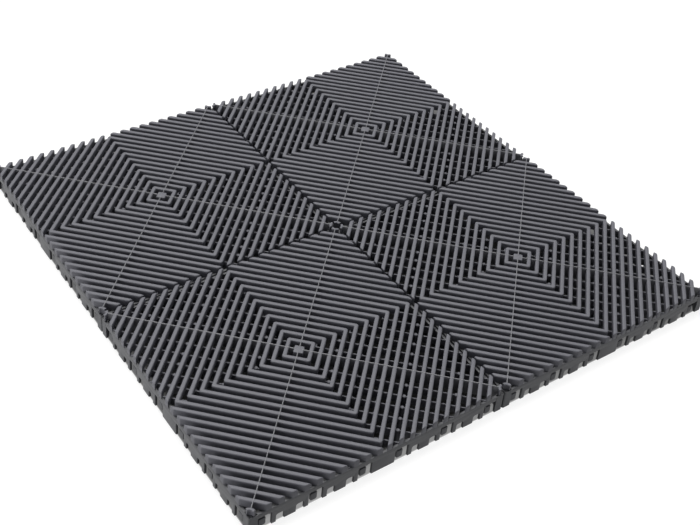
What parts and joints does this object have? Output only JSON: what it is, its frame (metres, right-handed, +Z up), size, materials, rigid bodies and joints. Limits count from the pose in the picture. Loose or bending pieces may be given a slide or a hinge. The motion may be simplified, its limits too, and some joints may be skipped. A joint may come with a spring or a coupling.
{
  "type": "interlocking floor tile",
  "caption": "Square open-grid interlocking floor tile with nested diagonal ribs, pegs in sockets on adjacent edges and loops on the opposite edges.",
  "frame": {"origin": "on the floor plane, under the middle of the whole outline with the loops counted", "axes": "+Z up out of the walking surface; +X and +Y along the tile's sides, towards the two edges with loops; the pegs are on the -X and -Y edges"},
  "size_m": [0.4068, 0.4068, 0.02],
  "materials": {
    "grey_plastic": "matte moulded plastic"
  },
  "bodies": {
    "root": {"cell_front_left": "grey_plastic", "cell_front_right": "grey_plastic", "cell_back_left": "grey_plastic", "cell_back_right": "grey_plastic"}
  },
  "joints": []
}
